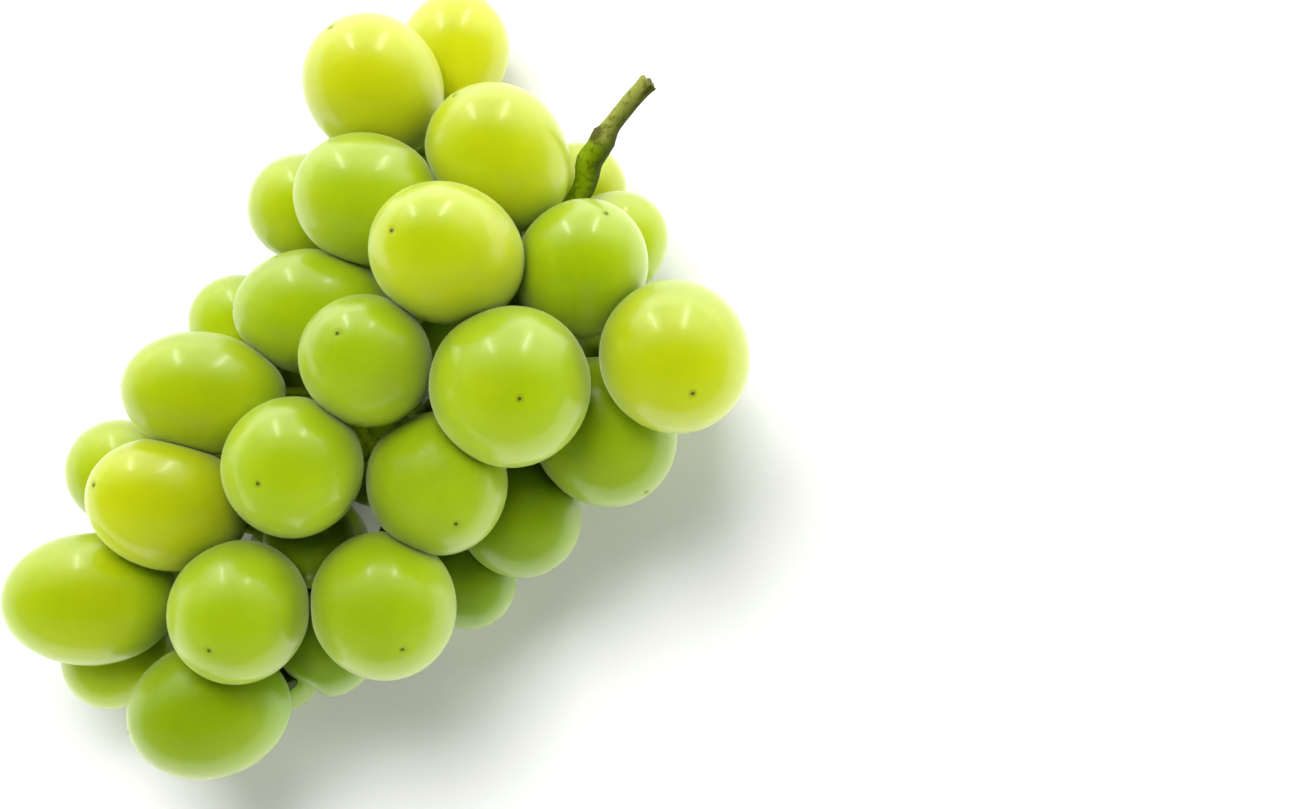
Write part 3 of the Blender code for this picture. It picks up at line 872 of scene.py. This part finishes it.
def paint_grape_skin():
    paint = Paint(bpy.data.materials.new("grape_skin"))
    place = paint.attribute("berry_place", "Vector")
    seed = paint.attribute("berry_seed")
    ripe_and_lit = paint.attribute("ripeness_and_painted_light")
    across_x = paint.along(place, (1, 0, 0))
    across_y = paint.along(place, (0, 1, 0))
    height = paint.along(place, (0, 0, 1))
    from_axis = (across_x * across_x + across_y * across_y) ** 0.5
    at_tip = height.ramp(0, 4)

    drift = paint.noise(place, seed, 0.05, 2.0)
    ripe_and_lit_here = ripe_and_lit + (drift - 0.5) * 0.35
    # The colour follows ripeness, which also carries painted light and shade: shaded berries greener and
    # darker, lit ones yellower and brighter.
    colour = paint.mix(ripe_and_lit_here.scaled(0, 0.5), linear(*GREEN_SKIN), linear(*TURNING_SKIN))
    colour = paint.mix(ripe_and_lit_here.scaled(0.5, 1), colour, linear(*YELLOW_SKIN))
    stalk_end = height.ramp(-6, -14)
    colour = paint.mix(stalk_end * 0.35, colour, linear(*STALK_END_SKIN))

    # Bloom grows on the greener berries, among them those made greener as painted shade.
    unripe_and_shaded = (1 - ripe_and_lit).ramp(0.3, 0.75)
    bloom = paint.noise(place, seed + 7, 0.1, 4.0).ramp(0.3, 0.75) * (0.25 + unripe_and_shaded * 0.75)
    colour = paint.mix(bloom * 0.05, colour, linear(*BLOOM))

    dots = paint.node("TexVoronoi", {"feature": "F1"}, {"Vector": place, "Scale": 0.9})
    dotted = paint.noise(place, seed + 3, 0.3, 1.0).ramp(0.52, 0.6)
    speck = (1 - dots.ramp(0.04, 0.11)) * dotted
    near_tip = (1 - from_axis.ramp(3, 8)) * at_tip
    colour = paint.mix(speck * (0.25 + near_tip * 0.5), colour, linear(*SPECK))

    scar_rim = (1 - from_axis.ramp(0.35, 1.2)) * at_tip
    scar_cork = (1 - from_axis.ramp(0.25, 0.5)) * at_tip
    colour = paint.mix(scar_rim * 0.6, colour, linear(*SCAR_OLIVE))
    colour = paint.mix(scar_cork, colour, linear(*CORK_BROWN))

    fine = paint.noise(place, seed, 3.0, 3.0)
    bump = paint.node("Bump", None, {"Strength": 0.12, "Distance": 0.1 * MM, "Height": fine})
    return paint.finish({
        "Base Color": colour,
        "Roughness": 0.28 + bloom * 0.1 + scar_cork * 0.3,
        "Normal": bump,
        "IOR": 1.5,
        "Subsurface Weight": 1.0,
        "Subsurface Radius": (0.9, 1.0, 0.25),
        "Subsurface Scale": 0.009,
        "Coat Weight": 0.4 - scar_rim * 0.4,
        "Coat Roughness": 0.14,
        "Sheen Weight": 0.4,
        "Sheen Roughness": 0.4,
        "Sheen Tint": linear(*SHEEN),
    })


def paint_green_wood():
    paint = Paint(bpy.data.materials.new("green_wood"))
    place = paint.node("TexCoord", output="Object")
    from_cut = paint.attribute("from_cut")
    from_bud = paint.attribute("from_bud")
    past_end = paint.attribute("past_end")
    streaks = paint.noise(place, 0.0, 900, 4.0)
    patches = paint.noise(place, 3.0, 260, 3.0)
    above_knot = 1 - from_cut.ramp(13, 17)
    to_lit_side = paint.attribute("to_lit_side")
    # Painted light and shade: one side of the stem is painted paler and the other darker, with patchy
    # edges.
    lit_share = (to_lit_side + (patches - 0.5) * 0.8).ramp(-0.7, 0.8)
    colour = paint.mix(lit_share, linear(*SHADED_SIDE_GREEN), linear(*LIT_SIDE_GREEN))
    # Above the knot the stem is weathered, and there too it is painted paler and darker from side to
    # side.
    weathered = paint.mix(lit_share, linear(*SHADED_SIDE_WEATHERED), linear(*LIT_SIDE_WEATHERED))
    colour = paint.mix(above_knot, colour, weathered)
    colour = paint.mix(streaks.ramp(0.5, 0.64) * 0.5, colour, linear(*STREAK))
    crack = (1 - abs(to_lit_side + 0.15).ramp(0.05, 0.3)) * past_end.ramp(-5, -2)
    colour = paint.mix(crack * 0.8, colour, linear(*CRACK))
    collar = (1 - from_bud.ramp(1.3, 2.4)) * patches.ramp(0.25, 0.5)
    colour = paint.mix(collar * 0.8, colour, linear(*BUD_COLLAR))
    dry_tip = 1 - from_bud.ramp(0.9, 1.5)
    colour = paint.mix(dry_tip * 0.4, colour, linear(*BUD_TIP))
    cut_face = paint.mix(streaks.ramp(0.4, 0.6), linear(*CUT_FACE_DARK), linear(*CUT_FACE_PALE))
    colour = paint.mix(past_end.ramp(-0.7, 0.1), colour, cut_face)
    bump = paint.node("Bump", None, {"Strength": 0.5, "Distance": 0.3 * MM, "Height": streaks})
    return paint.finish({
        "Base Color": colour,
        "Roughness": 0.62,
        "Specular IOR Level": 0.15,
        "Normal": bump,
        "Subsurface Weight": 0.1,
        "Subsurface Radius": (0.8, 1.0, 0.3),
        "Subsurface Scale": 0.001,
    })


def paint_floor():
    paint = Paint(bpy.data.materials.new("white_floor"))
    white = (FLOOR_WHITE, FLOOR_WHITE, FLOOR_WHITE, 1)
    return paint.finish({"Base Color": white, "Roughness": FLOOR_ROUGHNESS})


def lay_floor():
    deselect_all()
    bpy.ops.mesh.primitive_plane_add(size=FLOOR_SIZE, location=(0, 0, -FLOOR_DROP))
    floor = bpy.context.object
    floor.name = "floor"
    floor.data.materials.append(paint_floor())


def light_world(to_part):
    """Grey surroundings with a wide dark patch overhead, behind the camera."""
    world = bpy.data.worlds.new("studio")
    bpy.context.scene.world = world
    world.use_nodes = True
    paint = Paint(world)
    way = paint.node("TexCoord", output="Generated")
    across = paint.along(way, to_part.to_3x3() @ Vector((1, 0, 0)))
    up = paint.along(way, to_part.to_3x3() @ Vector((0, 1, 0)))
    from_patch = ((across / PATCH_HALF_WIDTH) ** 2 + (up / PATCH_HALF_HEIGHT) ** 2) ** 0.5
    outside = LOW_LIGHT + up.ramp(*LIGHT_RISE_EDGE) * LIGHT_RISE
    strength = PATCH_LIGHT + from_patch.ramp(*PATCH_EDGE) * outside
    paint.end("World", paint.node("Background", None, {"Color": (1, 1, 1, 1), "Strength": strength}))


def add_lamp(to_part, name, place, aim, width, height, brightness, mirrored, matt):
    """A soft rectangular light, which shines evenly from its whole face."""
    lamp = bpy.data.lights.new(name, "AREA")
    lamp.shape = "RECTANGLE"
    lamp.size = width
    lamp.size_y = height
    lamp.energy = brightness * math.pi * width * height
    light = bpy.data.objects.new(name, lamp)
    light.visible_glossy = mirrored
    light.visible_diffuse = matt
    place = to_part @ Vector(place)
    way = to_part @ Vector(aim) - place
    turn = way.to_track_quat("-Z", "Y").to_matrix().to_4x4()
    light.matrix_world = Matrix.Translation(place) @ turn
    bpy.context.scene.collection.objects.link(light)


def add_camera(to_part):
    lens = bpy.data.cameras.new("view")
    lens.lens = CAMERA_LENS
    lens.sensor_width = CAMERA_SENSOR
    lens.clip_start = CAMERA_NEAR
    camera = bpy.data.objects.new("view", lens)
    camera.matrix_world = to_part @ Matrix.Translation(CAMERA_PLACE)
    bpy.context.scene.collection.objects.link(camera)
    bpy.context.scene.camera = camera


def main():
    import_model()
    bunch = Bunch()
    stem = Stem(bunch)
    to_part = bunch.to_part()
    model_berries(bunch, stem, to_part, paint_grape_skin())
    model_stem(bunch, stem, to_part, paint_green_wood())
    lay_floor()
    light_world(to_part)
    for lamp in LAMPS:
        add_lamp(to_part, *lamp)
    add_camera(to_part)
    bpy.context.scene.view_settings.view_transform = "Standard"


main()
